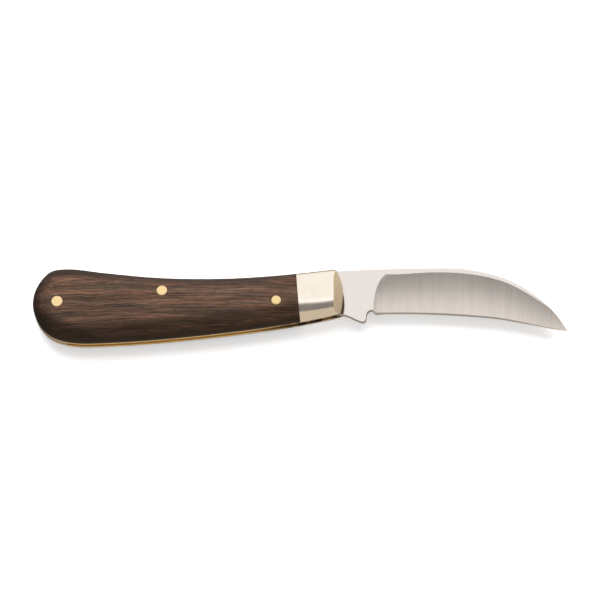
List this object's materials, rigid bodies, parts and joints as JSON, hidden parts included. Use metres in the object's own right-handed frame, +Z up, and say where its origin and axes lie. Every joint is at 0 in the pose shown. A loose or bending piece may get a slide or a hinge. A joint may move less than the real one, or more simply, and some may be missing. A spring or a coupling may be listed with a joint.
{
  "type": "grafting knife",
  "caption": "Folding grafting knife: a hooked, hollow-ground steel blade pivots on a pin between brass liners, under wooden scales and metal bolsters, held open or shut by a back spring.",
  "frame": {"origin": "middle of the open knife's footprint, on the surface that it lies on, left side down", "axes": "+X towards the blade's tip, +Y towards the spine, +Z up from the surface, out of the right side"},
  "size_m": [0.171, 0.0254, 0.0116],
  "materials": {
    "scale_wood": "oiled dark hardwood, satin, fine lengthwise grain",
    "liner_brass": "polished edges",
    "pin_brass": "bright, faced off flush with the wood",
    "nickel_silver": "polished nickel silver, a pale warm copper alloy",
    "blade_steel": "satin flats, fine cross-ground hollow",
    "spring_steel": "satin"
  },
  "bodies": {
    "handle": {"back_spring": "spring_steel", "pivot_pin": "nickel_silver", "middle_pin": "pin_brass", "butt_pin": "pin_brass", "right_scale": "scale_wood", "right_liner": "liner_brass", "right_bolster": "nickel_silver", "right_front_pin": "pin_brass", "right_bolster_rivet_upper": "nickel_silver", "right_bolster_rivet_lower": "nickel_silver", "left_scale": "scale_wood", "left_liner": "liner_brass", "left_bolster": "nickel_silver", "left_front_pin": "pin_brass", "left_bolster_rivet_upper": "nickel_silver", "left_bolster_rivet_lower": "nickel_silver"},
    "blade": {"blade": "blade_steel"}
  },
  "joints": [
    {"name": "blade_pivot", "type": "hinge", "parent": "handle", "child": "blade", "pos_m": [0.0071, 0.00198, 0.0058], "axis": [0, 0, -1], "range_deg": [0, 172.2], "deforming": ["back_spring"]}
  ]
}
